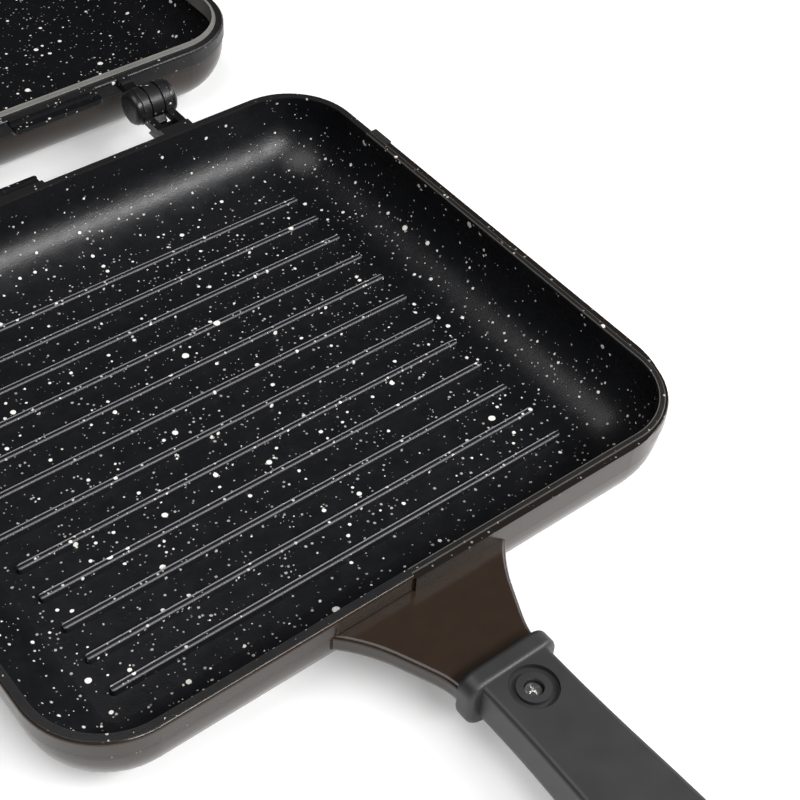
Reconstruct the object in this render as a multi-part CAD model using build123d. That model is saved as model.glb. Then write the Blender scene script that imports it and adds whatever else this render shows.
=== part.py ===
"""Double sided flip pan: two cast pans hinged along the back, each with its own bakelite handle.

The lower pan stands on its base.  Both castings share their outside but for the guard tab:
the upper one is the lower one turned half a turn about the line of the handles, so each clevis, lug
and ledge meets its partner on the other rim.  Everything is drawn shut, and the upper half is then
laid open flat.
Frame: origin at the middle of the lower pan's base, +X along the hinge, +Y towards the hinge, +Z up.
"""

import os
from math import cos, radians, sin, tan

from build123d import *

# ---- driving dimensions, millimetres and degrees ----
OPENING_X = 268.0          # cooking space at the rim
OPENING_Y = 251.0
OPENING_CORNER = 29.0
RIM_Z = 35.85              # rim face above the base
RIM_GAP = 0.30             # between the two rims when shut
LIP = 3.8                  # plain lip and skirt
SKIRT = 7.1                # plain lip's upright outer face
WALL = 3.0                 # wall under the skirt
NARROW_LIP = 2.2           # lip width where a ledge runs beside it
LEDGE = 5.0                # lip and ledge together
LEDGE_DROP = 0.45          # ledge below the lip
LEDGE_CORNER = 40.0
LEDGE_START_X = -4.0
LEDGE_END_Y = 68.0
FLOOR = 4.6                # base thickness
INNER_SWEEP = 24.0         # wall to floor inside
OUTER_SWEEP = 25.0         # wall to base outside
LIP_ROUND = 1.5            # plain lip's outer edge

RIB_PITCH = 16.0
RIBS_PER_GROUP = 6
RIB_GROUP_GAP = 1.94       # added between the two groups of ribs
RIB_MIDDLE_Y = -1.0        # middle of both groups
RIB_LENGTH = 206.5
RIB_WIDTH = 3.9            # at the foot
RIB_HEIGHT = 2.6
RIB_DRAFT = 14.0
RIB_ROUND = 0.35

OPEN_ANGLE = 180.0         # both bases on the table
HINGE_BACK = 23.3          # pin axis behind the plain lip
HINGE_X = 66.8
BARREL_R = 8.4
CLEVIS_W = 15.0
EAR_W = 3.75
EAR_ROUND = 0.6
ARM_T = 4.9
ARM_ROOT = 3.4             # full-height root behind the plain lip
ARM_STEP = 1.2             # arm's top below the rim past its root
WASHER_T = 0.8
SIDE_PLAY = 0.1            # each side of each washer
PIN_R = 3.0
PIN_PLAY = 0.05            # radial
PIN_HEAD_R = 8.0
PIN_HEAD_T = 3.6           # head and cap alike
PIN_HEAD_ROUND = 2.8
CAP_WALL = 1.2             # cap beyond the pin end
HEEL_REACH = 11.8          # pin axis to the stop face
HEEL_W = 6.0
HEEL_DIP = 40.0            # heel below level when open
STOP_PLAY = 0.03
SHELF_DROP = 5.2           # stop's shelf below the rim
SHELF_FOOT_Z = 24.0

TAB_LIP = 5.0              # lip width beside a tab
TAB_REACH = 11.3           # cooking space to the tab's edge
TAB_T = 2.2
TAB_DROP = 1.4             # tab below the rim
TAB_CHANNEL = 0.9          # channel depth
TAB_OUTER_X = 52.0
LOWER_TAB_X = 0.6          # near end from the middle
UPPER_TAB_X = 8.2
LOWER_TAB_STRIP = 1.6      # raised edge outside the channel
UPPER_TAB_STRIP = 3.6

BRACKET_DROP = 7.6         # bracket top below the rim
BRACKET_T = 9.2
BRACKET_ROOT = 38.4        # half width at the pan
BRACKET_NOSE = 17.4        # half width at the collar
BRACKET_LENGTH = 40.4      # plain lip to collar
TANG_W = 17.0
TANG_T = 7.0
TANG_LENGTH = 34.0
TANG_FIT = 0.3

COLLAR_LENGTH = 8.0
COLLAR_W = 38.0
COLLAR_T = 22.5
COLLAR_STEP = 1.0          # collar above the grip's face
COLLAR_END_ROUND = 6.0     # ends of its top
COLLAR_BEAD = 2.2
GRIP_LENGTH = 160.0
GRIP_NECK_W = 29.0
GRIP_BELLY_W = 33.0
GRIP_NECK_T = 20.5
GRIP_BELLY_T = 23.0
GRIP_END_T = 17.0
SEAT_Y = 9.0               # screw seat beyond the collar
SEAT_RING_R = 8.65
SEAT_BOSS_R = 6.0
SEAT_GROOVE_D = 2.0
SEAT_BORE_R = 3.5
SCREW_HEAD_R = 3.3
SCREW_HEAD_T = 2.6
SCREW_R = 2.0
SCREW_PLAY = 0.06
SEAT_SHELF = 3.0           # bakelite under the screw head

MAGNET_INSET = 42.0        # from the grip's end
MAGNET_R = 6.0
MAGNET_T = 4.0
CUP_WALL = 1.2
CUP_FIT = 0.1
HANG_INSET = 15.0          # from the grip's end
EYELET_R = 6.2
EYELET_WALL = 1.0
EYELET_FLANGE = 1.6
EYELET_FIT = 0.1
EYELET_SHY = 0.2           # tube end under the grip's face
FLANGE_SUNK = 1.6          # flange seat above the grip's end line

SEAL_GROOVE_IN = 1.2       # groove into the wall
SEAL_GROOVE_W = 2.4
SEAL_GROOVE_DROP = 3.6
SEAL_FIT = 0.1
SEAL_T = 1.8               # band standing in from the wall
SEAL_INSET = 0.7           # proud end clear of the other wall
SEAL_PROUD = 1.5           # beyond its own rim

PAD_LENGTH = 11.0
PAD_PROUD = 0.6
PAD_T = 4.0
PAD_FIT = 0.1

# ---- derived ----
HALF_X = OPENING_X / 2
HALF_Y = OPENING_Y / 2
HINGE_Z = RIM_Z + RIM_GAP / 2
HINGE_Y = HALF_Y + LIP + HINGE_BACK
LEDGE_Z = RIM_Z - LEDGE_DROP
FAR = 200.0
BRACKET_TOP = RIM_Z - BRACKET_DROP
COLLAR_Y = -(HALF_Y + LIP + BRACKET_LENGTH)
GRIP_TOP = RIM_Z - COLLAR_STEP
MAGNET_Y = GRIP_LENGTH - MAGNET_INSET
HANG_Y = GRIP_LENGTH - HANG_INSET
CUP_R = MAGNET_R + CUP_WALL
CUP_DEPTH = MAGNET_T + CUP_WALL
FLANGE_Z = GRIP_TOP - GRIP_END_T + FLANGE_SUNK
HINGE_LINE = Axis((0, HINGE_Y, HINGE_Z), (1, 0, 0))
HANDLE_LINE = Axis((0, 0, HINGE_Z), (0, 1, 0))


def block(x_span, y_span, z_span):
    """Box between the given limits."""
    size = [high - low for low, high in (x_span, y_span, z_span)]
    middle = [(high + low) / 2 for low, high in (x_span, y_span, z_span)]
    return Pos(*middle) * Box(*size)


def slab(half_x, half_y, corner, z_low, z_high):
    """Upright block with rounded corners in plan."""
    plan = Pos(0, 0, z_low) * RectangleRounded(2 * half_x, 2 * half_y, corner)
    return extrude(plan, z_high - z_low)


def cup(half_x, half_y, corner, z_low, z_high, sweep):
    """Rounded block whose walls sweep into its bottom."""
    body = slab(half_x, half_y, corner, z_low, z_high)
    return fillet(body.edges().group_by(Axis.Z)[0], sweep)


def rod(radius, x_low, x_high):
    """Round bar on the hinge line."""
    centre = Pos((x_low + x_high) / 2, HINGE_Y, HINGE_Z)
    return centre * Rot(0, 90, 0) * Cylinder(radius, x_high - x_low)


def post(radius, y, z_low, z_high):
    """Upright round bar on the handle's line."""
    return Pos(0, y, (z_low + z_high) / 2) * Cylinder(radius, z_high - z_low)


def side_profile(points, x_low, x_high):
    """Solid of a side outline, given as (y, z) points, between two x limits."""
    outline = Plane.YZ.offset(x_low) * make_face(Polyline(*points, close=True))
    return extrude(outline, x_high - x_low)


def arm(x_low, x_high, knuckle):
    """Plate from the wall to the pin, full height at its root, joined to its knuckle."""
    root = HALF_Y + LIP + ARM_ROOT
    outline = [
        (HALF_Y - 6, RIM_Z),
        (root, RIM_Z),
        (root + 0.5, RIM_Z - ARM_STEP),
        (HINGE_Y, RIM_Z - ARM_STEP),
        (HINGE_Y, RIM_Z - ARM_T),
        (HALF_Y - 6, RIM_Z - ARM_T),
    ]
    return side_profile(outline, x_low, x_high) + knuckle


def ear(x_low, x_high, outward):
    """Clevis ear whose outer edge is rounded; outward is -1 or 1 along X."""
    knuckle = rod(BARREL_R, x_low, x_high)
    rim = knuckle.edges().group_by(Axis.X)[-1 if outward > 0 else 0]
    return arm(x_low, x_high, fillet(rim, EAR_ROUND))


def clevis():
    """Two ears with a web between them that ends in the stop's slanted face."""
    low, high = HINGE_X - CLEVIS_W / 2, HINGE_X + CLEVIS_W / 2
    ears = ear(low, low + EAR_W, -1) + ear(high - EAR_W, high, 1)
    dip = radians(HEEL_DIP)
    face_y, face_z = HINGE_Y - HEEL_REACH * cos(dip), HINGE_Z - HEEL_REACH * sin(dip)
    shelf_z = RIM_Z - SHELF_DROP
    root = HALF_Y + LIP + ARM_ROOT
    web = [
        (HALF_Y - 6, RIM_Z),
        (root, RIM_Z),
        (root, shelf_z),
        (face_y - (shelf_z - face_z) * tan(dip), shelf_z),
        (face_y + (face_z - SHELF_FOOT_Z) * tan(dip), SHELF_FOOT_Z),
        (HALF_Y - 6, SHELF_FOOT_Z),
    ]
    return ears + side_profile(web, low + EAR_W - 1, high - EAR_W + 1)


def lug():
    """Single lug with the heel that meets the other casting's stop when open."""
    width = CLEVIS_W - 2 * EAR_W - 2 * WASHER_T - 4 * SIDE_PLAY
    low, high = -HINGE_X - width / 2, -HINGE_X + width / 2
    reach, half = HEEL_REACH - STOP_PLAY, HEEL_W / 2
    relief = half * half / reach
    outline = [(0, -half), (reach, -half), (reach, 0), (reach - relief, half), (0, half)]
    nose = side_profile(outline, low, high)
    turn = 180.0 - HEEL_DIP - OPEN_ANGLE
    heel = Pos(0, HINGE_Y, HINGE_Z) * Rot(turn, 0, 0) * nose
    return arm(low, high, rod(BARREL_R, low, high)) + heel


def tab(start, strip):
    """Guard tab along one half of the back: a wider lip, a channel, then a raised edge."""
    top = RIM_Z - TAB_DROP
    span = (-TAB_OUTER_X, -start)
    lip = block(span, (HALF_Y - 5, HALF_Y + TAB_LIP), (top - TAB_T, RIM_Z))
    body = block(span, (HALF_Y - 5, HALF_Y + TAB_REACH), (top - TAB_T, top))
    body = fillet(body.edges().filter_by(Axis.Z).group_by(Axis.Y)[-1], 1.2)
    channel = block(span, (HALF_Y + TAB_LIP, HALF_Y + TAB_REACH - strip), (top - TAB_CHANNEL, FAR))
    return body - channel + lip


def bracket():
    """Flared arm that carries the handle, with the tang that enters it."""
    lip_y = -(HALF_Y + LIP)
    share = [(0.0, 1.0), (0.14, 0.76), (0.36, 0.48), (0.52, 0.33), (0.68, 0.19), (0.84, 0.06), (1.0, 0.0)]
    spread = BRACKET_ROOT - BRACKET_NOSE
    side = [(BRACKET_NOSE + spread * w, lip_y - BRACKET_LENGTH * t) for t, w in share]
    right = Spline(*side)
    left = Spline(*[(-x, y) for x, y in side])
    nose = Line(side[-1], (-side[-1][0], side[-1][1]))
    root = Polyline(side[0], (side[0][0], lip_y + 8), (-side[0][0], lip_y + 8), (-side[0][0], side[0][1]))
    z_low = BRACKET_TOP - BRACKET_T
    body = extrude(Pos(0, 0, z_low) * make_face([right, nose, left, root]), BRACKET_T)
    front = lip_y - 0.5
    rims = [e for e in body.edges() if e.center().Y < front and abs(e.center().Z - z_low) < 0.1]
    body = fillet([e for e in rims if e.length > 2 * BRACKET_NOSE + 1], 3.5)
    tops = [e for e in body.edges() if e.center().Y < front and abs(e.center().Z - BRACKET_TOP) < 0.1]
    body = fillet([e for e in tops if e.length > 2 * BRACKET_NOSE + 1], 1.5)
    tang_top = BRACKET_TOP - 1.2
    tang_y = (COLLAR_Y - TANG_LENGTH, COLLAR_Y + 2)
    tang = block((-TANG_W / 2, TANG_W / 2), tang_y, (tang_top - TANG_T, tang_top))
    return body + tang


def ribs():
    """Two groups of draughted ribs on the floor."""
    slot = extrude(SlotOverall(RIB_LENGTH, RIB_WIDTH), RIB_HEIGHT + 0.3, taper=RIB_DRAFT)
    slot = fillet(slot.edges().group_by(Axis.Z)[-1], RIB_ROUND)
    places = []
    for i in range(2 * RIBS_PER_GROUP):
        offset = RIB_MIDDLE_Y + RIB_PITCH * (i - RIBS_PER_GROUP + 0.5)
        side = RIB_GROUP_GAP / 2 if i >= RIBS_PER_GROUP else -RIB_GROUP_GAP / 2
        places.append(Pos(0, offset + side, FLOOR - 0.3) * slot)
    return places


def casting(ribbed, tab_start, tab_strip):
    """One pan as cast, standing on its base."""
    plain = cup(HALF_X + WALL, HALF_Y + WALL, OPENING_CORNER + WALL, 0, RIM_Z, OUTER_SWEEP)
    rim = slab(HALF_X + LIP, HALF_Y + LIP, OPENING_CORNER + LIP, RIM_Z - SKIRT, RIM_Z)
    plain = plain + fillet(rim.edges().group_by(Axis.Z)[-1], LIP_ROUND)
    broad = cup(HALF_X + LEDGE, HALF_Y + LEDGE, LEDGE_CORNER, 0, LEDGE_Z, OUTER_SWEEP)
    zone = block((LEDGE_START_X, FAR), (-FAR, LEDGE_END_Y + PAD_LENGTH), (-1, FAR))
    inner_lip = slab(HALF_X + NARROW_LIP, HALF_Y + NARROW_LIP, OPENING_CORNER + NARROW_LIP, 0, FAR)
    above = block((LEDGE_START_X, FAR), (-FAR, LEDGE_END_Y + PAD_LENGTH), (LEDGE_Z, FAR))
    body = plain - (above - inner_lip) + (broad & zone)
    body = body + bracket() + clevis() + lug() + tab(tab_start, tab_strip)
    body = body - cup(HALF_X, HALF_Y, OPENING_CORNER, FLOOR, RIM_Z + 1, INNER_SWEEP)
    if ribbed:
        for rib in ribs():
            body = body + rib
    body = body - rod(PIN_R + PIN_PLAY, HINGE_X - CLEVIS_W, HINGE_X + CLEVIS_W)
    body = body - rod(PIN_R + PIN_PLAY, -HINGE_X - CLEVIS_W, -HINGE_X + CLEVIS_W)
    body = body - post(SCREW_R + SCREW_PLAY, COLLAR_Y - COLLAR_LENGTH - SEAT_Y, 10, BRACKET_TOP)
    return body - pad(PAD_FIT)


def pad(fit=0.0):
    """Black rubber block let into the end of the ledge."""
    outer = HALF_X + LEDGE + (FAR if fit else PAD_PROUD)
    spans = (
        (HALF_X + NARROW_LIP + 0.3 - fit, outer),
        (LEDGE_END_Y - fit, LEDGE_END_Y + PAD_LENGTH + fit + (1 if fit else 0)),
        (RIM_Z - PAD_T - fit, RIM_Z + (1 if fit else 0)),
    )
    return block(*spans)


def handle():
    """Bakelite grip with its collar, flat on top and rounded beneath."""
    start = COLLAR_Y - COLLAR_LENGTH
    end = start - GRIP_LENGTH
    neck, belly = GRIP_NECK_W / 2, GRIP_BELLY_W / 2
    right = [(neck, start + 1), (neck + 0.3, start - 0.2 * GRIP_LENGTH), (belly, start - 0.55 * GRIP_LENGTH)]
    right += [(belly - 0.6, start - 0.8 * GRIP_LENGTH), (belly - 4.5, end + 7), (0, end)]
    left = [(-x, y) for x, y in reversed(right[:-1])]
    sides = Spline(*right, *left)
    plan = make_face([sides, Line((-neck, start + 1), (neck, start + 1))])
    grip = extrude(plan, FAR)
    under = [(start + 1, GRIP_TOP - GRIP_NECK_T), (start - 0.25 * GRIP_LENGTH, GRIP_TOP - GRIP_NECK_T - 0.8)]
    under += [(start - 0.6 * GRIP_LENGTH, GRIP_TOP - GRIP_BELLY_T), (end - 1, GRIP_TOP - GRIP_END_T)]
    belly_line = Spline(*under)
    frame = Polyline(under[-1], (end - 1, GRIP_TOP), (start + 1, GRIP_TOP), under[0])
    flank = Plane.YZ.offset(-FAR / 2) * make_face([belly_line, frame])
    grip = grip & extrude(flank, FAR)
    long_edges = [e for e in grip.edges() if e.length > GRIP_LENGTH]
    low = min(long_edges, key=lambda e: e.center().Z)
    high = max(long_edges, key=lambda e: e.center().Z)
    grip = fillet(low, 7.5)
    high = max([e for e in grip.edges() if e.length > GRIP_LENGTH], key=lambda e: e.center().Z)
    grip = fillet(high, 2.0)
    collar = block((-COLLAR_W / 2, COLLAR_W / 2), (start, COLLAR_Y), (RIM_Z - COLLAR_T, RIM_Z))
    collar = fillet(collar.edges().filter_by(Axis.Y).group_by(Axis.Z)[0], 8.0)
    collar = fillet(collar.edges().filter_by(Axis.Y).group_by(Axis.Z)[-1], COLLAR_END_ROUND)
    collar = fillet(collar.edges().group_by(Axis.Y)[0], COLLAR_BEAD)
    collar = fillet(collar.edges().group_by(Axis.Y)[-1], COLLAR_BEAD)
    return grip + collar


def fitted_handle():
    """Handle with its tang socket, screw seat, magnet pocket and hanging hole."""
    start = COLLAR_Y - COLLAR_LENGTH
    tang_top = BRACKET_TOP - 1.2
    socket = block(
        (-TANG_W / 2 - TANG_FIT, TANG_W / 2 + TANG_FIT),
        (COLLAR_Y - TANG_LENGTH - TANG_FIT, COLLAR_Y + 1),
        (tang_top - TANG_T - TANG_FIT, tang_top + TANG_FIT),
    )
    seat_y = start - SEAT_Y
    shelf = tang_top + TANG_FIT + SEAT_SHELF
    ring = post(SEAT_RING_R, seat_y, GRIP_TOP - SEAT_GROOVE_D, GRIP_TOP + 1)
    boss = post(SEAT_BOSS_R, seat_y, GRIP_TOP - SEAT_GROOVE_D, GRIP_TOP - 0.4)
    bore = post(SEAT_BORE_R, seat_y, shelf, GRIP_TOP + 1)
    through = post(SCREW_R + SCREW_PLAY, seat_y, tang_top - 1, GRIP_TOP)
    pocket = post(CUP_R + CUP_FIT, start - MAGNET_Y, GRIP_TOP - CUP_DEPTH - CUP_FIT, GRIP_TOP + 1)
    hang_y = start - HANG_Y
    hole = post(EYELET_R + EYELET_FIT, hang_y, 0, GRIP_TOP + 1)
    flange_seat = post(EYELET_R + EYELET_FLANGE + EYELET_FIT, hang_y, 0, FLANGE_Z)
    return handle() - socket - (ring - boss) - bore - through - pocket - hole - flange_seat


def handle_screw():
    """Countersunk-free pan-head screw from the grip's face into the tang."""
    y = COLLAR_Y - COLLAR_LENGTH - SEAT_Y
    tang_top = BRACKET_TOP - 1.2
    head_z = tang_top + TANG_FIT + SEAT_SHELF
    head = post(SCREW_HEAD_R, y, head_z, head_z + SCREW_HEAD_T)
    head = fillet(head.edges().group_by(Axis.Z)[-1], 0.8)
    shank = post(SCREW_R, y, tang_top - TANG_T + 0.6, head_z)
    cross = block((-0.45, 0.45), (y - 2.1, y + 2.1), (head_z + 1.1, head_z + 4))
    cross = cross + block((-2.1, 2.1), (y - 0.45, y + 0.45), (head_z + 1.1, head_z + 4))
    return head + shank - cross


def magnet_cup():
    """Steel cup glued in the grip's face."""
    y = COLLAR_Y - COLLAR_LENGTH - MAGNET_Y
    body = post(CUP_R, y, GRIP_TOP - CUP_DEPTH, GRIP_TOP)
    return body - post(MAGNET_R + CUP_FIT, y, GRIP_TOP - MAGNET_T - CUP_FIT, GRIP_TOP + 1)


def magnet():
    """Disc magnet in the cup, just under the face."""
    y = COLLAR_Y - COLLAR_LENGTH - MAGNET_Y
    body = post(MAGNET_R, y, GRIP_TOP - MAGNET_T, GRIP_TOP - 0.05)
    return chamfer(body.edges().group_by(Axis.Z)[-1], 0.3)


def eyelet():
    """Metal liner of the hanging hole, flanged on the outer side only."""
    y = COLLAR_Y - COLLAR_LENGTH - HANG_Y
    flange_low = FLANGE_Z - EYELET_WALL
    tube = post(EYELET_R, y, flange_low, GRIP_TOP - EYELET_SHY)
    flange = post(EYELET_R + EYELET_FLANGE, y, flange_low, FLANGE_Z)
    flange = fillet(flange.edges().group_by(Axis.Z)[0], 0.6)
    return tube + flange - post(EYELET_R - EYELET_WALL, y, flange_low - 1, GRIP_TOP + 1)


def hinge_pin():
    """Headed pin; the head is on the side of the pan's middle."""
    low, high = HINGE_X - CLEVIS_W / 2, HINGE_X + CLEVIS_W / 2
    head = rod(PIN_HEAD_R, low - PIN_HEAD_T, low)
    head = fillet(head.edges().group_by(Axis.X)[0], PIN_HEAD_ROUND)
    return head + rod(PIN_R, low - 0.5, high + PIN_HEAD_T - CAP_WALL)


def pin_cap():
    """Domed cap pushed on the pin's end."""
    high = HINGE_X + CLEVIS_W / 2
    body = rod(PIN_HEAD_R, high, high + PIN_HEAD_T)
    body = fillet(body.edges().group_by(Axis.X)[-1], PIN_HEAD_ROUND)
    return body - rod(PIN_R + PIN_PLAY, high - 1, high + PIN_HEAD_T - CAP_WALL + PIN_PLAY)


def washers():
    """Thin washer at each side of the lug."""
    low = HINGE_X - CLEVIS_W / 2 + EAR_W + SIDE_PLAY
    high = HINGE_X + CLEVIS_W / 2 - EAR_W - SIDE_PLAY
    bore = rod(PIN_R + PIN_PLAY, low - 1, high + 1)
    pair = rod(BARREL_R - 1.2, low, low + WASHER_T) + rod(BARREL_R - 1.2, high - WASHER_T, high)
    return pair - bore


def seal():
    """Silicone band with a tongue in the wall's groove, standing proud of the rim."""
    top = RIM_Z - SEAL_GROOVE_DROP - SEAL_FIT
    tongue_in = SEAL_GROOVE_IN - SEAL_FIT

    def band(out, inner, z_low, z_high):
        ring = slab(HALF_X + out, HALF_Y + out, OPENING_CORNER + out, z_low, z_high)
        return ring - slab(HALF_X - inner, HALF_Y - inner, OPENING_CORNER - inner, z_low - 1, z_high + 1)

    tongue = band(tongue_in, SEAL_T, top - SEAL_GROOVE_W + 2 * SEAL_FIT, top)
    body = band(-SEAL_FIT, SEAL_T, top - SEAL_GROOVE_W - 1.0, RIM_Z)
    lip = band(-SEAL_INSET, SEAL_T, RIM_Z, RIM_Z + SEAL_PROUD)
    return tongue + body + lip


def seal_groove():
    """Groove for the seal's tongue, cut into the inner wall."""
    top = RIM_Z - SEAL_GROOVE_DROP
    out = SEAL_GROOVE_IN
    return slab(HALF_X + out, HALF_Y + out, OPENING_CORNER + out, top - SEAL_GROOVE_W, top)


def turned(shape):
    """The same piece on the upper half, pans shut: half a turn about the handles' line."""
    return shape.rotate(HANDLE_LINE, 180)


def opened(shape):
    """A shut upper piece swung right over, to lie flat behind the lower half."""
    return shape.rotate(HINGE_LINE, -OPEN_ANGLE)


def save(name, shape):
    """Write one node's file, its solids side by side in one group."""
    solids = shape.solids()
    export_step(solids[0] if len(solids) == 1 else Compound(children=solids), f"parts/{name}.step")


def main():
    """Build each piece once and write it for the half or halves that carry it."""
    os.makedirs("parts", exist_ok=True)
    save("lower_pan", casting(True, LOWER_TAB_X, LOWER_TAB_STRIP))
    save("upper_pan", opened(turned(casting(False, UPPER_TAB_X, UPPER_TAB_STRIP) - seal_groove())))
    save("rim_seal", opened(turned(seal())))
    both_halves = {
        "handle": fitted_handle(),
        "handle_screw": handle_screw(),
        "magnet_cup": magnet_cup(),
        "handle_magnet": magnet(),
        "hanging_eyelet": eyelet(),
        "ledge_pad": pad(),
    }
    for name, shape in both_halves.items():
        save(f"lower_{name}", shape)
        save(f"upper_{name}", opened(turned(shape)))
    hinge_set = {
        "hinge_pin": hinge_pin(),
        "pin_cap": pin_cap(),
        "hinge_washers": washers(),
    }
    for name, shape in hinge_set.items():
        save(f"right_{name}", shape)
        save(f"left_{name}", opened(turned(shape)))


if __name__ == "__main__":
    main()
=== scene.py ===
"""Looks of a double sided flip pan: stone-flecked inside, bronze outside, with black grips."""

import logging
import math
from dataclasses import dataclass, field
from enum import Enum

import bpy
import numpy as np
from mathutils import Matrix, Vector

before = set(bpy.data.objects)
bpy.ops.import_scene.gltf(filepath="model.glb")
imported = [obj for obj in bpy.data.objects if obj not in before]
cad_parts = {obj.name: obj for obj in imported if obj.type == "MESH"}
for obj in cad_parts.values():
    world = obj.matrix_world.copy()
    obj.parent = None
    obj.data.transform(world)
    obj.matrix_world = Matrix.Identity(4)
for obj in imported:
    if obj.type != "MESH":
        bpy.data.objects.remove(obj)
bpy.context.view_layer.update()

logging.basicConfig(level=logging.INFO, format="%(message)s")
LOG = logging.getLogger("flip_pan")

MM = 0.001

Rgb = tuple[float, float, float]
Rgba = tuple[float, float, float, float]
Point = tuple[float, float, float]
Span = tuple[float, float]
Material = bpy.types.Material
Node = bpy.types.Node
Socket = bpy.types.NodeSocket
Tree = bpy.types.NodeTree


class PanSide(Enum):
    """Which half of the pan a piece belongs to."""

    LOWER = "lower"
    UPPER = "upper"


def shade(colour: tuple[float, ...], factor: float) -> Rgba:
    """Darken or lighten a colour.

    Args:
        colour: three channels, of which a fourth is left out.
        factor: what each channel is multiplied by.

    Returns:
        The opaque colour, with no channel above 1.
    """
    red, green, blue = (min(1.0, channel * factor) for channel in colour[:3])
    return red, green, blue, 1.0


# ---------------------------------------------------------------- node helpers


@dataclass
class Graph:
    """Small helper that adds and joins the nodes of one tree."""

    # Where the Mix node keeps its two colours and its result, which share their names with other modes.
    MIX_FIRST = 6
    MIX_SECOND = 7
    MIX_RESULT = 2

    tree: Tree

    def add(self, kind: str, **settings: object) -> Node:
        """Add a node.

        Args:
            kind: Blender's node type name.
            settings: attributes to set on the node.

        Returns:
            The new node.
        """
        node = self.tree.nodes.new(kind)
        for name, value in settings.items():
            setattr(node, name, value)
        return node

    def feed(self, socket: Socket, value: object) -> None:
        """Join a socket to an output, or set its value.

        Args:
            socket: the input to fill.
            value: an output socket, a number, a colour or a vector.
        """
        if isinstance(value, Socket):
            self.tree.links.new(value, socket)
        else:
            socket.default_value = value

    def math(self, operation: str, *values: object, clamp: bool = False) -> Socket:
        """Add a Math node.

        Args:
            operation: what it works out.
            values: its inputs in order.
            clamp: whether the result is kept within 0 and 1.

        Returns:
            The result.
        """
        node = self.add("ShaderNodeMath", operation=operation, use_clamp=clamp)
        for socket, value in zip(node.inputs, values):
            self.feed(socket, value)
        return node.outputs[0]

    def times(self, first: object, *others: object) -> Socket:
        """Multiply values together.

        Args:
            first: the first value.
            others: the rest, taken from left to right.

        Returns:
            The product.
        """
        product = first
        for other in others:
            product = self.math("MULTIPLY", product, other)
        return product

    def vector(self, operation: str, *values: object) -> Socket:
        """Add a Vector Math node.

        Args:
            operation: what it works out.
            values: its inputs in order.

        Returns:
            Its vector, or its value for LENGTH.
        """
        node = self.add("ShaderNodeVectorMath", operation=operation)
        for socket, value in zip(node.inputs, values):
            self.feed(socket, value)
        return node.outputs["Value" if operation == "LENGTH" else "Vector"]

    def step(self, value: object, border: Span) -> Socket:
        """Smooth step across a border.

        Args:
            value: what is compared with the border.
            border: where the step leaves 0 and where it comes to 1.

        Returns:
            The step.
        """
        node = self.add("ShaderNodeMapRange", interpolation_type="SMOOTHSTEP")
        for name, item in (("Value", value), ("From Min", border[0]), ("From Max", border[1])):
            self.feed(node.inputs[name], item)
        return node.outputs["Result"]

    def span(self, value: object, low: float, high: float) -> Socket:
        """Straight, clamped remap of a value that runs from 0 to 1.

        Args:
            value: what is remapped.
            low: the result at 0.
            high: the result at 1.

        Returns:
            The remapped value.
        """
        node = self.add("ShaderNodeMapRange")
        for name, item in (("Value", value), ("To Min", low), ("To Max", high)):
            self.feed(node.inputs[name], item)
        return node.outputs["Result"]

    def band(self, value: object, middle: object, half: object) -> Socket:
        """Mask of a narrow band, max(0, 1 - |value - middle| / half).

        Args:
            value: what is compared with the band.
            middle: where the mask is 1.
            half: how far from there it falls to 0.

        Returns:
            The mask.
        """
        miss = self.math("ABSOLUTE", self.math("SUBTRACT", value, middle))
        return self.math("SUBTRACT", 1.0, self.math("DIVIDE", miss, half), clamp=True)

    def mix(self, factor: object, first: object, second: object) -> Socket:
        """Blend two colours.

        Args:
            factor: 0 for the first colour, 1 for the second.
            first: a colour.
            second: a colour.

        Returns:
            The blend.
        """
        node = self.add("ShaderNodeMix", data_type="RGBA")
        self.feed(node.inputs["Factor"], factor)
        self.feed(node.inputs[self.MIX_FIRST], first)
        self.feed(node.inputs[self.MIX_SECOND], second)
        return node.outputs[self.MIX_RESULT]

    def group(self, tree: Tree, **values: object) -> Node:
        """Place a node group.

        Args:
            tree: the group.
            values: its inputs by name, with spaces written as underscores.

        Returns:
            The group's node.
        """
        node = self.add("ShaderNodeGroup", node_tree=tree)
        for name, value in values.items():
            self.feed(node.inputs[name.replace("_", " ")], value)
        return node


def new_group(
    name: str, inputs: dict[str, object], outputs: dict[str, str]
) -> tuple[Tree, Graph, Node, Node]:
    """Start a shader node group.

    Args:
        name: the group's name.
        inputs: input name to default number, or to "vector" or "color".
        outputs: output name to "value", "vector" or "color".

    Returns:
        The tree, its graph helper, and its input and output nodes.
    """
    kinds = {"value": "NodeSocketFloat", "vector": "NodeSocketVector", "color": "NodeSocketColor"}
    tree = bpy.data.node_groups.new(name, "ShaderNodeTree")
    for key, value in inputs.items():
        kind = kinds[value] if isinstance(value, str) else kinds["value"]
        socket = tree.interface.new_socket(name=key, in_out="INPUT", socket_type=kind)
        if not isinstance(value, str):
            socket.default_value = value
    for key, value in outputs.items():
        tree.interface.new_socket(name=key, in_out="OUTPUT", socket_type=kinds[value])
    graph = Graph(tree)
    return tree, graph, graph.add("NodeGroupInput"), graph.add("NodeGroupOutput")


# ---------------------------------------------------------------- sizes that the finish follows


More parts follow.
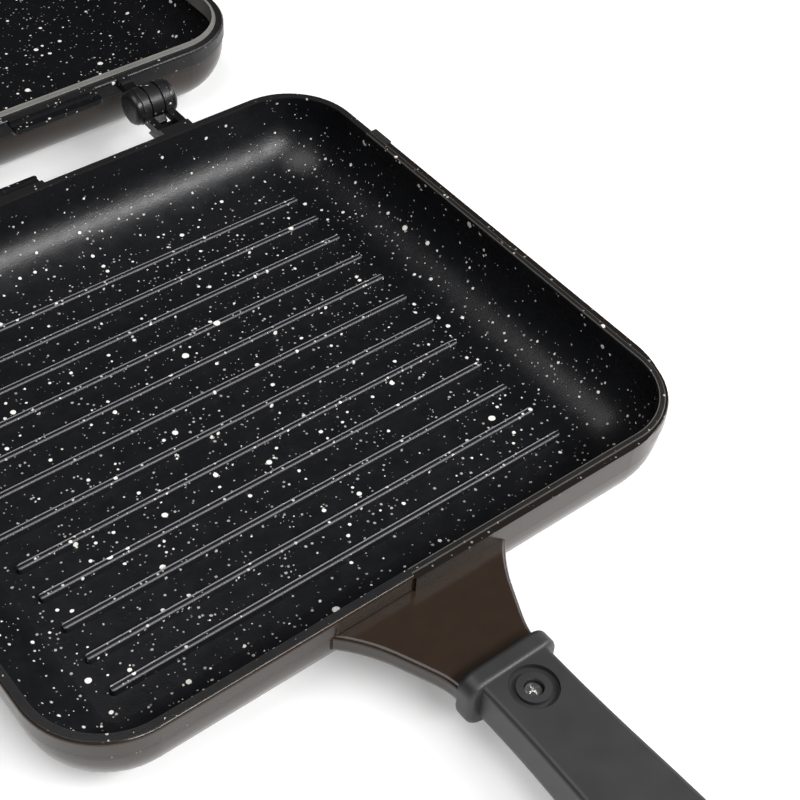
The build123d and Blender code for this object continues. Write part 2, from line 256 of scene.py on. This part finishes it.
@dataclass(frozen=True)
class CastingSizes:
    """Sizes of a casting in its own frame, in metres.

    A Span is a border, where one finish gives way to the next.
    """

    half_x: float = 134.0 * MM
    half_y: float = 125.5 * MM
    corner: float = 29.0 * MM
    coat_lip: float = 3.0 * MM
    ledge_lip_loss: float = 0.7 * MM
    coat_blend: Span = (-0.2 * MM, 0.2 * MM)
    sweep_top: float = 28.0 * MM
    sweep_inset: float = 15.9 * MM
    ledge_start_x: Span = (-4.1 * MM, -3.9 * MM)
    ledge_end_y: Span = (78.9 * MM, 79.1 * MM)
    coat_foot_z: Span = (3.8 * MM, 4.4 * MM)
    skirt_y: Span = (115.0 * MM, 117.0 * MM)
    skirt_foot_z: Span = (27.0 * MM, 27.4 * MM)
    wall_z: Span = (10.0 * MM, 20.0 * MM)
    ledge_z: Span = (33.5 * MM, 34.2 * MM)
    rim_z: Span = (35.0 * MM, 35.3 * MM)
    rim_start: Span = (0.2 * MM, 0.6 * MM)


@dataclass(frozen=True)
class RibSizes:
    """Sizes of the ribs on the lower casting's floor, in metres."""

    middle_y: float = -1.0 * MM
    gap_half: float = 0.97 * MM
    pitch: float = 16.0 * MM
    top_half: float = 1.03 * MM
    top_z: Span = (6.5 * MM, 6.9 * MM)
    reach_x: float = 103.4 * MM
    reach_y: float = 96.0 * MM


# ---------------------------------------------------------------- shared effects


def fleck_group() -> Tree:
    """Sprayed mineral flecks: round cells kept at random, in one size.

    A cell pattern gives each cell a point and a random colour.  A fleck is a point's disc whose radius
    is that cell's own random share of the size, and only a chosen share of the cells have one.  A noise
    pushes the outlines about, so no fleck is quite round.

    Returns:
        Group with Vector, Scale, Share, Size and Blur inputs, a Mask output, and a Tint output that is a
        random number of each cell's own.
    """
    wobble_fineness = 2.2
    wobble_reach = 0.6 * MM
    middle_of_noise = (0.5, 0.5, 0.5)
    smallest = 0.35
    rarity_of_large = 2.2
    tree, g, source, out = new_group(
        "mineral_flecks",
        {"Vector": "vector", "Scale": 200.0, "Share": 0.3, "Size": 0.3, "Blur": 0.06},
        {"Mask": "value", "Tint": "value"},
    )
    wobble = g.add("ShaderNodeTexNoise")
    g.feed(wobble.inputs["Vector"], source.outputs["Vector"])
    g.feed(wobble.inputs["Scale"], g.times(source.outputs["Scale"], wobble_fineness))
    shift = g.vector("SCALE", g.vector("SUBTRACT", wobble.outputs["Color"], middle_of_noise))
    shift.node.inputs["Scale"].default_value = wobble_reach
    cells = g.add("ShaderNodeTexVoronoi", feature="F1", distance="EUCLIDEAN")
    g.feed(cells.inputs["Vector"], g.vector("ADD", source.outputs["Vector"], shift))
    g.feed(cells.inputs["Scale"], source.outputs["Scale"])
    chance = g.add("ShaderNodeSeparateColor")
    g.feed(chance.inputs[0], cells.outputs["Color"])
    keep = g.math("LESS_THAN", chance.outputs["Red"], source.outputs["Share"])
    skewed = g.math("POWER", chance.outputs["Green"], rarity_of_large)
    growth = g.math("ADD", smallest, g.times(skewed, 1.0 - smallest))
    radius = g.times(source.outputs["Size"], growth)
    edge = g.math("SUBTRACT", radius, cells.outputs["Distance"])
    mask = g.math("DIVIDE", edge, source.outputs["Blur"], clamp=True)
    g.feed(out.inputs["Mask"], g.times(mask, keep))
    g.feed(out.inputs["Tint"], chance.outputs["Blue"])
    return tree


def grain_group() -> Tree:
    """Fine coating or moulding grain: two noises, one ten times coarser, added by weight.

    Returns:
        Group with Vector, Scale and Coarse Share inputs, and Height and Patch outputs.
    """
    fine_detail, coarse_detail = 3.0, 2.0
    coarseness = 0.1
    tree, g, source, out = new_group(
        "coating_grain",
        {"Vector": "vector", "Scale": 900.0, "Coarse Share": 0.3},
        {"Height": "value", "Patch": "value"},
    )
    fine = g.add("ShaderNodeTexNoise")
    fine.inputs["Detail"].default_value = fine_detail
    g.feed(fine.inputs["Vector"], source.outputs["Vector"])
    g.feed(fine.inputs["Scale"], source.outputs["Scale"])
    coarse = g.add("ShaderNodeTexNoise")
    coarse.inputs["Detail"].default_value = coarse_detail
    g.feed(coarse.inputs["Vector"], source.outputs["Vector"])
    g.feed(coarse.inputs["Scale"], g.times(source.outputs["Scale"], coarseness))
    weighted = g.times(coarse.outputs["Fac"], source.outputs["Coarse Share"])
    g.feed(out.inputs["Height"], g.math("ADD", fine.outputs["Fac"], weighted))
    g.feed(out.inputs["Patch"], coarse.outputs["Fac"])
    return tree


def zone_group(sizes: CastingSizes = CastingSizes()) -> Tree:
    """Tells the coated faces of a casting from its enamelled outside.

    In plan, the signed distance to a rounded rectangle is length(max(|p| - c, 0)) - r.  At the rim the
    black coat ends a lip's width outside the opening, and lower down its border moves inwards as the
    square of the depth.  Beside the ledge the lip is narrower.  Nothing lower than the inside floor is
    coated there.  Behind the pan, the skirt and all that stands out from it above the skirt's foot are
    black too: the hinge tabs for their black coat, and the bronze skirt as painted shade, where it faces
    the shaded gap between the halves.

    Args:
        sizes: the casting's sizes.

    Returns:
        Group with a Vector input in the pan's own frame (metres) and outputs for the black coat with the
        skirt's painted shade, the ledge's stretch, the signed distance and the height.
    """
    tree, g, source, out = new_group(
        "casting_zone",
        {"Vector": "vector"},
        {"Black": "value", "Beside Ledge": "value", "Reach": "value", "Height": "value"},
    )
    axes = g.add("ShaderNodeSeparateXYZ")
    g.feed(axes.inputs[0], source.outputs["Vector"])
    height = axes.outputs["Z"]
    squares = []
    for name, half in (("X", sizes.half_x), ("Y", sizes.half_y)):
        past = g.math("SUBTRACT", g.math("ABSOLUTE", axes.outputs[name]), half - sizes.corner)
        past = g.math("MAXIMUM", past, 0.0)
        squares.append(g.times(past, past))
    distance = g.math("SUBTRACT", g.math("SQRT", g.math("ADD", *squares)), sizes.corner)
    before_pad = g.math("SUBTRACT", 1.0, g.step(axes.outputs["Y"], sizes.ledge_end_y))
    beside = g.times(g.step(axes.outputs["X"], sizes.ledge_start_x), before_pad)
    lip = g.math("SUBTRACT", sizes.coat_lip, g.times(beside, sizes.ledge_lip_loss))
    depth = g.math("MAXIMUM", g.math("SUBTRACT", sizes.sweep_top, height), 0.0)
    inset = g.times(depth, depth, sizes.sweep_inset / sizes.sweep_top**2)
    within = g.math("SUBTRACT", g.math("SUBTRACT", lip, inset), distance)
    inside = g.times(g.step(within, sizes.coat_blend), g.step(height, sizes.coat_foot_z))
    # Behind the pan: real black coat on the hinge tabs, and painted shade that blackens the bronze skirt
    # facing the shaded gap.
    behind = g.times(g.step(axes.outputs["Y"], sizes.skirt_y), g.step(height, sizes.skirt_foot_z))
    g.feed(out.inputs["Black"], g.math("MAXIMUM", inside, behind))
    g.feed(out.inputs["Beside Ledge"], beside)
    g.feed(out.inputs["Reach"], distance)
    g.feed(out.inputs["Height"], height)
    return tree


def rib_highlight_group(ribs: RibSizes = RibSizes()) -> Tree:
    """Painted highlights: thin light lines along each rib's two top edges, where the edges catch the light.

    With s the distance from the ribs' common middle and a the half of the extra gap there, a point is
    |mod(s - a, pitch) - pitch / 2| from its rib's middle.  The mask is a narrow band about the half
    width of a rib's top, near the top's height.  The painted highlight on the edge towards the hinge is
    brighter than the one on the other edge.

    Args:
        ribs: the ribs' sizes.

    Returns:
        Group with a Vector input in the pan's own frame (metres), Half Width and Line inputs, and a
        Mask output.
    """
    line_width = 0.62 * MM
    # Strength of the painted highlight on each top edge, brighter on the edge towards the hinge.
    handle_side_highlight, hinge_side_highlight = 0.50, 1.00
    tree, g, source, out = new_group(
        "painted_rib_highlights",
        {"Vector": "vector", "Half Width": ribs.top_half, "Line": line_width},
        {"Mask": "value"},
    )
    axes = g.add("ShaderNodeSeparateXYZ")
    g.feed(axes.inputs[0], source.outputs["Vector"])
    from_middle = g.math("SUBTRACT", axes.outputs["Y"], ribs.middle_y)
    apart = g.math("ABSOLUTE", from_middle)
    along = g.math("MODULO", g.math("SUBTRACT", apart, ribs.gap_half), ribs.pitch)
    signed = g.math("SUBTRACT", along, ribs.pitch / 2)
    towards_hinge = g.times(signed, g.math("SIGN", from_middle))
    hinge_side = g.math("GREATER_THAN", towards_hinge, 0.0)
    extra = g.times(hinge_side, hinge_side_highlight - handle_side_highlight)
    highlight_weight = g.math("ADD", handle_side_highlight, extra)
    line = g.band(g.math("ABSOLUTE", signed), source.outputs["Half Width"], source.outputs["Line"])
    top = g.step(axes.outputs["Z"], ribs.top_z)
    across = g.math("LESS_THAN", g.math("ABSOLUTE", axes.outputs["X"]), ribs.reach_x)
    between = g.math("LESS_THAN", apart, ribs.reach_y)
    g.feed(out.inputs["Mask"], g.times(line, top, highlight_weight, across, between))
    return tree


@dataclass
class Effects:
    """The shared node groups, each built once."""

    flecks: Tree = field(default_factory=fleck_group)
    grain: Tree = field(default_factory=grain_group)
    zone: Tree = field(default_factory=zone_group)
    rib_highlights: Tree = field(default_factory=rib_highlight_group)


# ---------------------------------------------------------------- finishes


def shader_start(name: str) -> tuple[Material, Graph, Node, Socket]:
    """Start a material.

    Args:
        name: the material's name.

    Returns:
        The material, its graph, its Principled BSDF node and its Object coordinates.
    """
    material = bpy.data.materials.new(name)
    material.use_nodes = True
    material.node_tree.nodes.clear()
    graph = Graph(material.node_tree)
    shader = graph.add("ShaderNodeBsdfPrincipled")
    output = graph.add("ShaderNodeOutputMaterial")
    graph.feed(output.inputs["Surface"], shader.outputs[0])
    place = graph.add("ShaderNodeTexCoord").outputs["Object"]
    return material, graph, shader, place


def add_relief(g: Graph, shader: Node, height: Socket, strength: float, reach: float) -> None:
    """Raise a shader's surface by a height.

    Args:
        g: the material's graph.
        shader: the shader whose normal is bent.
        height: the relief.
        strength: how much of it shows, from 0 to 1.
        reach: how far a height of 1 stands out, in metres.
    """
    bump = g.add("ShaderNodeBump")
    bump.inputs["Strength"].default_value = strength
    bump.inputs["Distance"].default_value = reach
    g.feed(bump.inputs["Height"], height)
    g.feed(shader.inputs["Normal"], bump.outputs[0])


@dataclass(frozen=True)
class FleckSpray:
    """One size of sprayed fleck: cells per metre, share that have one, radius and soft edge."""

    scale: float
    share: float
    size: float
    blur: float

    def place(self, g: Graph, effects: Effects, own: Socket) -> Node:
        """Add this spray to a material.

        Args:
            g: the material's graph.
            effects: the shared effects.
            own: the point in the pan's own frame.

        Returns:
            The spray's node.
        """
        return g.group(
            effects.flecks, Vector=own, Scale=self.scale, Share=self.share, Size=self.size, Blur=self.blur
        )


@dataclass(frozen=True)
class PaintedHighlightLine:
    """A painted highlight line that follows the opening, by its distance outside it and its half width."""

    reach: float
    half: float

    def mask(self, g: Graph, zone: Node) -> Socket:
        """Mask of the line, from the zone's signed distance."""
        return g.band(zone.outputs["Reach"], self.reach, self.half)


@dataclass(frozen=True)
class CoatedCasting:
    """Black flecked non-stick inside and glossy bronze enamel outside, on one casting."""

    inside: Rgba = (0.0028, 0.0031, 0.0042, 1.0)
    outside: Rgba = (0.022, 0.0145, 0.0100, 1.0)
    fleck: Rgba = (0.86, 0.84, 0.79, 1.0)
    # Painted highlight colour of the ribs' top edges.
    rib_highlight: Rgba = (0.36, 0.36, 0.38, 1.0)
    # Painted highlight colour of the rim's edges.
    rim_highlight: Rgba = (0.15, 0.135, 0.12, 1.0)
    rim_face: Rgba = (0.0108, 0.0106, 0.0110, 1.0)
    ledge_face: Rgba = (0.0125, 0.0100, 0.0084, 1.0)
    inside_patches: float = 1.25
    outside_patches: float = 1.3
    inside_roughness: Span = (0.28, 0.46)
    outside_roughness: Span = (0.18, 0.23)
    gloss: float = 0.45
    small: FleckSpray = FleckSpray(scale=520.0, share=0.56, size=0.36, blur=0.10)
    middle: FleckSpray = FleckSpray(scale=270.0, share=0.40, size=0.28, blur=0.06)
    large: FleckSpray = FleckSpray(scale=150.0, share=0.24, size=0.25, blur=0.04)
    small_brightness: Span = (0.15, 0.75)
    kept_on_wall_and_floor: Span = (0.45, 1.1)
    ledge_specks: float = 0.25
    # How strongly the painted rib highlights show.
    rib_highlight_share: float = 0.85
    # How strongly the painted rim highlights show.
    rim_highlight_share: float = 0.8
    plain_rim_and_ledge: Span = (0.15, 1.0)
    inner_line: PaintedHighlightLine = PaintedHighlightLine(reach=0.1 * MM, half=0.35 * MM)
    ledge_line: PaintedHighlightLine = PaintedHighlightLine(reach=2.2 * MM, half=0.3 * MM)
    grain_scale: float = 1500.0
    coarse_share: float = 1.3
    relief_strength: float = 0.45
    relief_reach: float = 0.15 * MM
    fleck_lift: float = 0.8
    outside_relief: float = 0.04
    sizes: CastingSizes = CastingSizes()

    def own_frame(self, g: Graph, place: Socket, side: PanSide, fold: Matrix) -> Socket:
        """Take points at rest into the pan's own frame, in which both castings are alike.

        Args:
            g: the material's graph.
            place: the Object coordinates.
            side: the half that the material is for.
            fold: takes the upper half's points into that frame.

        Returns:
            The point in the pan's own frame.
        """
        if side is PanSide.LOWER:
            return place
        turn = g.add("ShaderNodeMapping", vector_type="POINT")
        turn.inputs["Rotation"].default_value = fold.to_euler("XYZ")
        turn.inputs["Location"].default_value = fold.to_translation()
        g.feed(turn.inputs["Vector"], place)
        return turn.outputs["Vector"]

    def flecks(self, g: Graph, effects: Effects, own: Socket, height: Socket) -> tuple[Socket, Socket]:
        """Spray all three sizes of fleck, of which fewer are kept high on the walls.

        Args:
            g: the material's graph.
            effects: the shared effects.
            own: the point in the pan's own frame.
            height: its height.

        Returns:
            Masks of all the flecks and of the small ones alone.
        """
        small, middle, large = (
            spray.place(g, effects, own) for spray in (self.small, self.middle, self.large)
        )
        faint = g.times(small.outputs["Mask"], g.span(small.outputs["Tint"], *self.small_brightness))
        both = g.math("MAXIMUM", faint, middle.outputs["Mask"])
        every = g.math("MAXIMUM", both, large.outputs["Mask"])
        on_floor = g.math("SUBTRACT", 1.0, g.step(height, self.sizes.wall_z))
        limit = g.span(on_floor, *self.kept_on_wall_and_floor)
        kept = g.math("LESS_THAN", middle.outputs["Tint"], limit)
        return g.times(every, kept), small.outputs["Mask"]

    def rim_highlight_lines(self, g: Graph, zone: Node, rim_top: Socket) -> Socket:
        """Mask of the painted highlight lines at the opening's edge and along the ledge.

        Args:
            g: the material's graph.
            zone: the node that tells the casting's faces apart.
            rim_top: mask of the rim's height.

        Returns:
            The mask.
        """
        beside = zone.outputs["Beside Ledge"]
        inner = g.times(self.inner_line.mask(g, zone), g.span(beside, *self.plain_rim_and_ledge))
        ledge = g.times(self.ledge_line.mask(g, zone), beside)
        return g.times(g.math("MAXIMUM", inner, ledge), rim_top)

    def coat(self, g: Graph, zone: Node, patch: Socket) -> Socket:
        """Colour of the black coat with its painted rim highlights, before ribs and flecks.

        Args:
            g: the material's graph.
            zone: the node that tells the casting's faces apart.
            patch: the grain's soft patches.

        Returns:
            The colour.
        """
        rim_top = g.step(zone.outputs["Height"], self.sizes.rim_z)
        outside_opening = g.step(zone.outputs["Reach"], self.sizes.rim_start)
        colour = g.mix(patch, self.inside, shade(self.inside, self.inside_patches))
        colour = g.mix(g.times(rim_top, outside_opening), colour, self.rim_face)
        # Painted highlight lines along the opening's edge and the ledge.
        return g.mix(g.times(self.rim_highlight_lines(g, zone, rim_top), self.rim_highlight_share), colour, self.rim_highlight)

    def enamel(self, g: Graph, zone: Node, patch: Socket, specks: Socket) -> Socket:
        """Colour of the bronze enamel, with the darker, faintly specked ledge.

        Args:
            g: the material's graph.
            zone: the node that tells the casting's faces apart.
            patch: the grain's soft patches.
            specks: mask of the small flecks.

        Returns:
            The colour.
        """
        colour = g.mix(patch, self.outside, shade(self.outside, self.outside_patches))
        on_ledge = g.times(
            zone.outputs["Beside Ledge"], g.step(zone.outputs["Height"], self.sizes.ledge_z)
        )
        ledge = g.mix(g.times(specks, self.ledge_specks), self.ledge_face, self.fleck)
        return g.mix(on_ledge, colour, ledge)

    def build(self, name: str, side: PanSide, effects: Effects, fold: Matrix) -> Material:
        """Make the casting's material.

        Args:
            name: the material's name.
            side: the half that it is for.
            effects: the shared effects.
            fold: takes the upper half's points at rest into the lower pan's own frame.

        Returns:
            The material.
        """
        material, g, shader, place = shader_start(name)
        own = self.own_frame(g, place, side, fold)
        zone = g.group(effects.zone, Vector=own)
        # The black coat, with the skirt's painted shade behind the pan.
        black = zone.outputs["Black"]
        grain = g.group(effects.grain, Vector=own, Scale=self.grain_scale, Coarse_Share=self.coarse_share)
        patch = grain.outputs["Patch"]
        flecks, specks = self.flecks(g, effects, own, zone.outputs["Height"])
        coat = self.coat(g, zone, patch)
        if side is PanSide.LOWER:
            # Painted highlights along the ribs' top edges, on the lower casting only.
            rib_highlights = g.group(effects.rib_highlights, Vector=own)
            coat = g.mix(g.times(rib_highlights.outputs["Mask"], self.rib_highlight_share), coat, self.rib_highlight)
        coat = g.mix(flecks, coat, self.fleck)
        g.feed(shader.inputs["Base Color"], g.mix(black, self.enamel(g, zone, patch, specks), coat))
        rough_in = g.span(patch, *self.inside_roughness)
        rough_out = g.span(patch, *self.outside_roughness)
        rougher = g.times(g.math("SUBTRACT", rough_in, rough_out), black)
        g.feed(shader.inputs["Roughness"], g.math("ADD", rough_out, rougher))
        shader.inputs["Specular IOR Level"].default_value = self.gloss
        lift = g.math("ADD", grain.outputs["Height"], g.times(flecks, self.fleck_lift))
        height = g.times(lift, g.math("ADD", black, self.outside_relief))
        add_relief(g, shader, height, self.relief_strength, self.relief_reach)
        return material


@dataclass(frozen=True)
class PlainFinish:
    """A moulded, rubber or metal finish of one colour with grain in its colour, gloss and relief."""

    name: str
    colour: Rgb
    roughness: float
    metallic: float = 0.0
    grain_scale: float = 900.0
    relief: float = 0.05 * MM
    variation: float = 0.25
    gloss: float = 0.5
    coarse_share: float = 0.4
    roughness_spread: float = 0.05
    relief_strength: float = 0.3

    def build(self, effects: Effects) -> Material:
        """Make the material from the shared grain.

        Args:
            effects: the shared effects.

        Returns:
            The material.
        """
        material, g, shader, place = shader_start(self.name)
        grain = g.group(effects.grain, Vector=place, Scale=self.grain_scale, Coarse_Share=self.coarse_share)
        patch = grain.outputs["Patch"]
        low, high = shade(self.colour, 1.0 - self.variation), shade(self.colour, 1.0 + self.variation)
        g.feed(shader.inputs["Base Color"], g.mix(patch, low, high))
        least, most = self.roughness - self.roughness_spread, self.roughness + self.roughness_spread
        g.feed(shader.inputs["Roughness"], g.span(patch, least, most))
        shader.inputs["Metallic"].default_value = self.metallic
        shader.inputs["Specular IOR Level"].default_value = self.gloss
        add_relief(g, shader, grain.outputs["Height"], self.relief_strength, self.relief)
        return material


@dataclass(frozen=True)
class PaleFloor:
    """Matt white that glows a little where it is seen, and far off is plain white to the camera."""

    colour: Rgba = (0.86, 0.86, 0.86, 1.0)
    glow: float = 0.20
    white_from: Span = (0.70, 1.40)

    def build(self) -> Material:
        """Make the floor's material.

        The glow is its share wherever the camera, a gloss or clear stuff sees the floor, and to the
        camera alone a smooth step of the distance from the origin is added.

        Returns:
            The material.
        """
        material = bpy.data.materials.new("pale_floor")
        material.use_nodes = True
        material.node_tree.nodes.clear()
        g = Graph(material.node_tree)
        rays = g.add("ShaderNodeLightPath")
        seen = g.math("MAXIMUM", rays.outputs["Is Camera Ray"], rays.outputs["Is Glossy Ray"])
        seen = g.math("MAXIMUM", seen, rays.outputs["Is Transmission Ray"])
        matt = g.add("ShaderNodeBsdfDiffuse")
        matt.inputs["Color"].default_value = self.colour
        glow = g.add("ShaderNodeEmission")
        distance = g.vector("LENGTH", g.add("ShaderNodeTexCoord").outputs["Object"])
        far = g.times(g.step(distance, self.white_from), rays.outputs["Is Camera Ray"])
        g.feed(glow.inputs["Strength"], g.math("ADD", g.times(seen, self.glow), far))
        both = g.add("ShaderNodeAddShader")
        g.feed(both.inputs[0], matt.outputs[0])
        g.feed(both.inputs[1], glow.outputs[0])
        output = g.add("ShaderNodeOutputMaterial")
        g.feed(output.inputs["Surface"], both.outputs[0])
        return material


# ---------------------------------------------------------------- the pan


def dress(node: str, material: Material) -> None:
    """Give a CAD node its material.

    Args:
        node: the node's name.
        material: what every one of its slots gets.
    """
    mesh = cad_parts[node].data
    mesh.materials.clear()
    mesh.materials.append(material)
    LOG.info("dressed %s with %s", node, material.name)


@dataclass
class Castings:
    """Both cast pans."""

    hinge_y: float = 152.6 * MM
    hinge_z: float = 36.0 * MM
    open_degrees: float = 180.0
    coat: CoatedCasting = CoatedCasting()

    def fold(self) -> Matrix:
        """Shut the open upper pan and turn it over onto the lower pan's own frame.

        Returns:
            The matrix that does so.
        """
        hinge = Vector((0.0, self.hinge_y, self.hinge_z))
        shut = Matrix.Translation(hinge) @ Matrix.Rotation(math.radians(self.open_degrees), 4, "X")
        shut = shut @ Matrix.Translation(-hinge)
        over = Matrix.Translation((0.0, 0.0, 2 * self.hinge_z)) @ Matrix.Rotation(math.pi, 4, "Y")
        return over @ shut

    def build(self, effects: Effects) -> None:
        """Dress the lower and the upper casting.

        Args:
            effects: the shared effects.
        """
        for side in PanSide:
            finish = self.coat.build(f"coated_{side.value}_pan", side, effects, self.fold())
            dress(f"{side.value}_pan", finish)


@dataclass
class Fittings:
    """Grips, seal, magnets and hinge hardware."""

    handle: PlainFinish = PlainFinish("black_phenolic", (0.024, 0.024, 0.025), 0.46, grain_scale=700.0)
    seal: PlainFinish = PlainFinish("grey_silicone", (0.20, 0.195, 0.185), 0.5, grain_scale=500.0)
    steel: PlainFinish = PlainFinish(
        "plain_steel",
        (0.55, 0.55, 0.54),
        0.28,
        metallic=1.0,
        grain_scale=1500.0,
        relief=0.02 * MM,
        variation=0.12,
    )
    magnet: PlainFinish = PlainFinish(
        "nickel_plate",
        (0.50, 0.50, 0.52),
        0.18,
        metallic=1.0,
        grain_scale=1200.0,
        relief=0.01 * MM,
        variation=0.08,
    )
    pin: PlainFinish = PlainFinish("black_pin", (0.010, 0.010, 0.011), 0.3)
    washer: PlainFinish = PlainFinish("dark_nylon", (0.03, 0.03, 0.03), 0.45)
    pad: PlainFinish = PlainFinish("black_rubber", (0.012, 0.012, 0.012), 0.6)

    def build(self, effects: Effects) -> None:
        """Dress every fitting of both halves.

        Args:
            effects: the shared effects.
        """
        handle, seal, steel, magnet, pin, washer, pad = (
            finish.build(effects)
            for finish in (self.handle, self.seal, self.steel, self.magnet, self.pin, self.washer, self.pad)
        )
        on_each_half = {
            "handle": handle,
            "handle_screw": steel,
            "magnet_cup": steel,
            "handle_magnet": magnet,
            "hanging_eyelet": steel,
            "ledge_pad": pad,
        }
        at_each_knuckle = {"hinge_pin": pin, "pin_cap": pin, "hinge_washers": washer}
        for side in PanSide:
            for piece, material in on_each_half.items():
                dress(f"{side.value}_{piece}", material)
        for hand in ("right", "left"):
            for piece, material in at_each_knuckle.items():
                dress(f"{hand}_{piece}", material)
        dress("rim_seal", seal)


# ---------------------------------------------------------------- the studio


@dataclass(frozen=True)
class Softbox:
    """One soft light."""

    name: str
    place: Point
    aim: Point
    size: tuple[float, float]
    watts: float

    def build(self) -> None:
        """Make the light and turn it to its aim."""
        data = bpy.data.lights.new(self.name, "AREA")
        data.shape = "RECTANGLE"
        data.size, data.size_y = self.size
        data.energy = self.watts
        lamp = bpy.data.objects.new(self.name, data)
        lamp.location = self.place
        ray = Vector(self.aim) - Vector(self.place)
        lamp.rotation_euler = ray.to_track_quat("-Z", "Y").to_euler()
        bpy.context.scene.collection.objects.link(lamp)
        LOG.info("lit %s", self.name)


@dataclass
class Studio:
    """Pale floor, soft lights, plain world and the camera."""

    floor_reach: float = 4.0
    floor_points: int = 9
    floor_z: float = -0.2 * MM
    floor_finish: PaleFloor = PaleFloor()
    world_colour: Rgba = (1.0, 1.0, 1.0, 1.0)
    world_strength: Span = (0.04, 1.0)
    camera_place: Point = (-0.23576, -0.37971, 0.47250)
    heading: float = 41.20
    dip: float = 45.84
    roll: float = 4.225
    lens: float = 72.684
    sensor_width: float = 36.0
    clip: Span = (0.01, 50.0)
    lights: tuple[Softbox, ...] = (
        Softbox("front_box", (0.35, -1.15, 1.15), (0.0, 0.0, 0.0), (1.6, 0.35), 33.0),
        Softbox("top_box", (-0.5, 0.1, 1.6), (0.0, 0.0, 0.0), (1.2, 1.2), 14.0),
        Softbox("right_box", (1.5, -0.3, 0.9), (0.0, 0.0, 0.0), (1.2, 0.8), 12.0),
    )

    def floor(self) -> None:
        """Flat square sheet: points (r(2u-1), r(2v-1), z) on a grid of u and v."""
        count = self.floor_points
        line = np.linspace(-self.floor_reach, self.floor_reach, count)
        grid = np.stack(np.meshgrid(line, line, indexing="ij"), -1).reshape(-1, 2)
        points = np.column_stack([grid, np.full(len(grid), self.floor_z)])
        index = np.arange(count * count).reshape(count, count)
        corners = [index[:-1, :-1], index[1:, :-1], index[1:, 1:], index[:-1, 1:]]
        faces = np.stack(corners, -1).reshape(-1, 4)
        mesh = bpy.data.meshes.new("floor")
        mesh.from_pydata(points.tolist(), [], faces.tolist())
        floor = bpy.data.objects.new("floor", mesh)
        bpy.context.scene.collection.objects.link(floor)
        mesh.materials.append(self.floor_finish.build())
        LOG.info("laid %s with %d faces", floor.name, len(faces))

    def world(self) -> None:
        """White to the camera and through clear stuff, and dim for all light that falls on the pan."""
        world = bpy.data.worlds.new("studio")
        bpy.context.scene.world = world
        world.use_nodes = True
        world.node_tree.nodes.clear()
        g = Graph(world.node_tree)
        rays = g.add("ShaderNodeLightPath")
        seen = g.math("MAXIMUM", rays.outputs["Is Camera Ray"], rays.outputs["Is Transmission Ray"])
        back = g.add("ShaderNodeBackground")
        back.inputs["Color"].default_value = self.world_colour
        g.feed(back.inputs["Strength"], g.span(seen, *self.world_strength))
        output = g.add("ShaderNodeOutputWorld")
        g.feed(output.inputs["Surface"], back.outputs[0])

    def camera(self) -> None:
        """Camera from its place, heading, dip and roll.

        For a heading h and a dip d it looks along (sin h cos d, cos h cos d, -sin d), and the roll turns
        its level side axis and the axis square to both.
        """
        data = bpy.data.cameras.new("camera")
        data.lens = self.lens
        data.sensor_width = self.sensor_width
        data.clip_start, data.clip_end = self.clip
        view = bpy.data.objects.new("camera", data)
        heading, dip, roll = (math.radians(angle) for angle in (self.heading, self.dip, self.roll))
        level = math.cos(dip)
        ahead = Vector((math.sin(heading) * level, math.cos(heading) * level, -math.sin(dip)))
        side = Vector((math.cos(heading), -math.sin(heading), 0.0))
        over = side.cross(ahead)
        right = math.cos(roll) * side + math.sin(roll) * over
        up = -math.sin(roll) * side + math.cos(roll) * over
        turn = Matrix((right, up, -ahead)).transposed().to_4x4()
        view.matrix_world = Matrix.Translation(Vector(self.camera_place)) @ turn
        bpy.context.scene.collection.objects.link(view)
        bpy.context.scene.camera = view

    def build(self) -> None:
        """Make the whole studio."""
        bpy.context.scene.view_settings.view_transform = "Standard"
        self.floor()
        self.world()
        for light in self.lights:
            light.build()
        self.camera()


def main() -> None:
    """Build the pan's looks and the studio."""
    effects = Effects()
    Castings().build(effects)
    Fittings().build(effects)
    Studio().build()


if __name__ == "__main__":
    main()
